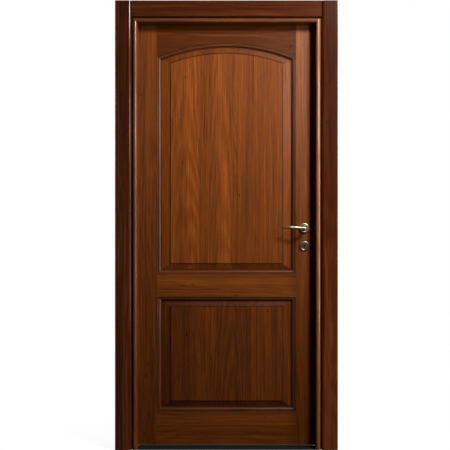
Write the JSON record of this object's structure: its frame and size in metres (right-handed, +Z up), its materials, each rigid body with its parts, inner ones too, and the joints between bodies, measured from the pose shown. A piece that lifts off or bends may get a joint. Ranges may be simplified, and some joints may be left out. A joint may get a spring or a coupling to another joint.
{
  "type": "hinged door with frame",
  "caption": "Rebated wooden panel door in its own jambs and casings, with an arched upper panel, lever latch and keyed bolt.",
  "frame": {"origin": "floor level, middle of the doorway, halfway between the front casings' face and the back lever's grip", "axes": "+X to the lock side, +Y away from the push side, +Z up"},
  "size_m": [1.093, 0.1739, 2.2065],
  "materials": {
    "jamb_wood": "satin lacquer",
    "casing_wood": "satin lacquer",
    "stile_wood": "satin lacquer",
    "rail_wood": "satin lacquer",
    "moulding_wood": "satin lacquer",
    "panel_wood": "satin lacquer",
    "dowel_wood": "bare beech",
    "seal_rubber": "matte",
    "aged_brass": "satin, aged",
    "plate_brass": "satin",
    "lock_steel": "zinc plated"
  },
  "bodies": {
    "frame": {"hinge_jamb": "jamb_wood", "lock_jamb": "jamb_wood", "head_jamb": "jamb_wood", "jamb_screws": "lock_steel", "front_casing_left": "casing_wood", "front_casing_right": "casing_wood", "front_casing_head": "casing_wood", "back_casing_left": "casing_wood", "back_casing_right": "casing_wood", "back_casing_head": "casing_wood", "hinge_jamb_stop": "jamb_wood", "lock_jamb_stop": "jamb_wood", "head_jamb_stop": "jamb_wood", "seals": "seal_rubber", "strike_plate": "plate_brass", "strike_screws": "plate_brass", "hinge_pins": "lock_steel", "hinge_frame_half_lower": "plate_brass", "hinge_frame_half_middle": "plate_brass", "hinge_frame_half_upper": "plate_brass"},
    "leaf": {"bottom_rail": "rail_wood", "forend_screws": "plate_brass", "hinge_leaf_half_lower": "plate_brass", "hinge_leaf_half_middle": "plate_brass", "hinge_leaf_half_upper": "plate_brass", "hinge_stile": "stile_wood", "key_rose_back": "aged_brass", "key_rose_front": "aged_brass", "lever_rose_back": "aged_brass", "lever_rose_front": "aged_brass", "lock_case": "lock_steel", "lock_forend": "plate_brass", "lock_stile": "stile_wood", "lower_moulding_back_bottom": "moulding_wood", "lower_moulding_back_left": "moulding_wood", "lower_moulding_back_right": "moulding_wood", "lower_moulding_back_top": "moulding_wood", "lower_moulding_front_bottom": "moulding_wood", "lower_moulding_front_left": "moulding_wood", "lower_moulding_front_right": "moulding_wood", "lower_moulding_front_top": "moulding_wood", "lower_panel": "panel_wood", "middle_rail": "rail_wood", "rail_dowels": "dowel_wood", "top_rail": "rail_wood", "upper_moulding_back_bottom": "moulding_wood", "upper_moulding_back_left": "moulding_wood", "upper_moulding_back_right": "moulding_wood", "upper_moulding_back_top": "moulding_wood", "upper_moulding_front_bottom": "moulding_wood", "upper_moulding_front_left": "moulding_wood", "upper_moulding_front_right": "moulding_wood", "upper_moulding_front_top": "moulding_wood", "upper_panel": "panel_wood"},
    "lever_set": {"lever_front": "aged_brass", "lever_back": "aged_brass", "spindle": "lock_steel", "lock_follower": "lock_steel"},
    "latch": {"latch_bolt": "plate_brass"},
    "dead_bolt": {"dead_bolt": "plate_brass"}
  },
  "joints": [
    {"name": "leaf_hinge", "type": "hinge", "parent": "frame", "child": "leaf", "pos_m": [-0.46325, 0.037, 0.25], "axis": [0, 0, 1], "range_deg": [0, 170]},
    {"name": "lever_turn", "type": "hinge", "parent": "leaf", "child": "lever_set", "pos_m": [0.388, -0.0015, 1.09], "axis": [0, -1, 0], "range_deg": [0, 45], "stiffness_Nm_per_rad": 1.5, "springref_deg": -20.05},
    {"name": "latch_slide", "type": "slide", "parent": "leaf", "child": "latch", "axis": [-1, 0, 0], "range_m": [0, 0.0112]},
    {"name": "dead_bolt_slide", "type": "slide", "parent": "leaf", "child": "dead_bolt", "axis": [1, 0, 0], "range_m": [0, 0.02]}
  ],
  "couplings": [
    {"joint": "latch_slide", "follows": "lever_turn", "m_per_rad": 0.014}
  ]
}
